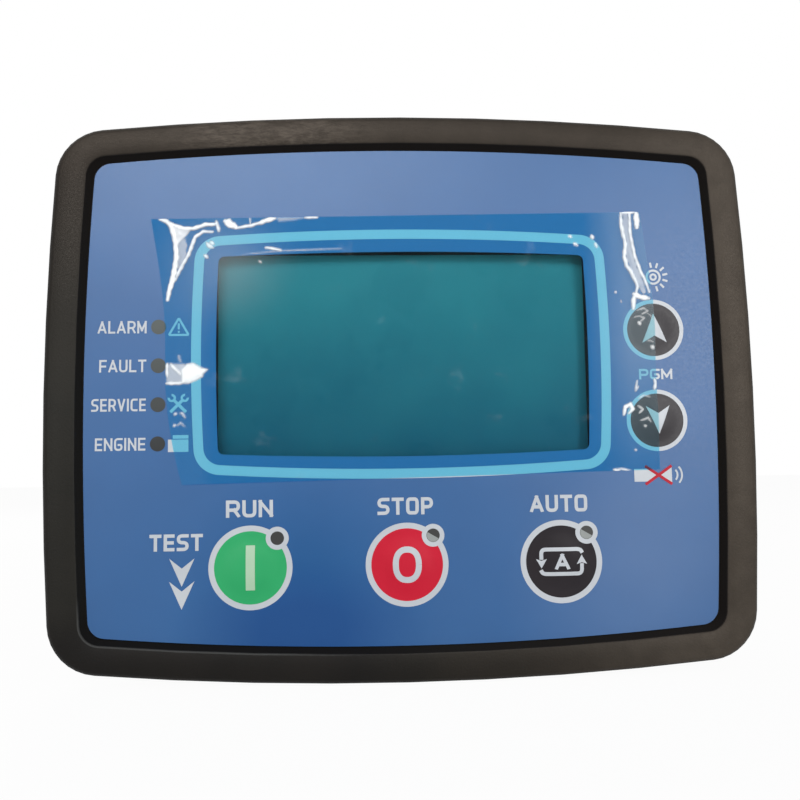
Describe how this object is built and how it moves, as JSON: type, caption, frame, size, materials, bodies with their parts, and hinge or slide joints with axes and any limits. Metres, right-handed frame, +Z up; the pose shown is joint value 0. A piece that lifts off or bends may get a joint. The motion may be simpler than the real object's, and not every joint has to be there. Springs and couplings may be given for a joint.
{
  "type": "genset controller",
  "caption": "Flush panel controller for a generator set: bowed bezel, printed film with soft keys and display window, stepped rear housing with plug-in terminals and clamp brackets.",
  "frame": {"origin": "centre of the panel cut-out, on the front face of the panel that the gasket rests on", "axes": "+X to the right as the operator sees the front, +Y into the panel towards the terminals, +Z up"},
  "size_m": [0.139, 0.047, 0.111],
  "materials": {
    "housing_plastic": "fine matte texture",
    "dark_plastic": "matte",
    "printed_film": "fine satin texture",
    "clear_film": "clear, glossy, tinted",
    "foam_rubber": "matte",
    "white_plastic": "matte",
    "lamp_resin": "glossy",
    "display_glass": "glossy",
    "plated_steel": "bright plated",
    "circuit_board": "satin",
    "brass_spacer": "satin",
    "relay_plastic": "satin",
    "can_sleeve": "satin",
    "choke_wire": "lacquered",
    "terminal_plastic": "satin",
    "tinned_brass": "satin",
    "gold_contact": "bright"
  },
  "bodies": {
    "controller": {"front_housing": "housing_plastic", "rear_housing": "housing_plastic", "left_bracket": "dark_plastic", "right_bracket": "dark_plastic", "graphic_overlay": "printed_film", "protective_film": "clear_film", "panel_gasket": "foam_rubber", "switch_bodies": "dark_plastic", "status_lamps": "lamp_resin", "key_lamps": "lamp_resin", "lamp_spacers": "dark_plastic", "display_frame": "plated_steel", "display_glass": "display_glass", "backlight": "white_plastic", "front_board": "circuit_board", "rear_board": "circuit_board", "processor": "dark_plastic", "crystal": "plated_steel", "board_spacers": "brass_spacer", "board_screws": "plated_steel", "link_header": "dark_plastic", "link_socket": "dark_plastic", "relays": "relay_plastic", "capacitors": "can_sleeve", "choke": "choke_wire", "clock_cell": "plated_steel", "upper_headers": "terminal_plastic", "lower_headers": "terminal_plastic", "header_pins": "tinned_brass", "upper_plug_a": "terminal_plastic", "upper_plug_b": "terminal_plastic", "upper_plug_c": "terminal_plastic", "lower_plug_a": "terminal_plastic", "lower_plug_b": "terminal_plastic", "plug_screws": "plated_steel", "wire_clamps": "tinned_brass", "serial_jack": "dark_plastic", "jack_contacts": "gold_contact"},
    "run_key": {"run_button": "white_plastic", "run_stem": "dark_plastic"},
    "stop_key": {"stop_button": "white_plastic", "stop_stem": "dark_plastic"},
    "auto_key": {"auto_button": "white_plastic", "auto_stem": "dark_plastic"},
    "up_key": {"up_button": "white_plastic", "up_stem": "dark_plastic"},
    "down_key": {"down_button": "white_plastic", "down_stem": "dark_plastic"},
    "left_screw": {"left_clamp_screw": "plated_steel"},
    "right_screw": {"right_clamp_screw": "plated_steel"}
  },
  "joints": [
    {"name": "run_press", "type": "slide", "parent": "controller", "child": "run_key", "axis": [0, 1, 0], "range_m": [0, 0.0003], "stiffness_N_per_m": 4000},
    {"name": "stop_press", "type": "slide", "parent": "controller", "child": "stop_key", "axis": [0, 1, 0], "range_m": [0, 0.0003], "stiffness_N_per_m": 4000},
    {"name": "auto_press", "type": "slide", "parent": "controller", "child": "auto_key", "axis": [0, 1, 0], "range_m": [0, 0.0003], "stiffness_N_per_m": 4000},
    {"name": "up_press", "type": "slide", "parent": "controller", "child": "up_key", "axis": [0, 1, 0], "range_m": [0, 0.0003], "stiffness_N_per_m": 4000},
    {"name": "down_press", "type": "slide", "parent": "controller", "child": "down_key", "axis": [0, 1, 0], "range_m": [0, 0.0003], "stiffness_N_per_m": 4000},
    {"name": "left_clamp", "type": "slide", "parent": "controller", "child": "left_screw", "axis": [0, -1, 0], "range_m": [0, 0.004]},
    {"name": "right_clamp", "type": "slide", "parent": "controller", "child": "right_screw", "axis": [0, -1, 0], "range_m": [0, 0.004]}
  ]
}
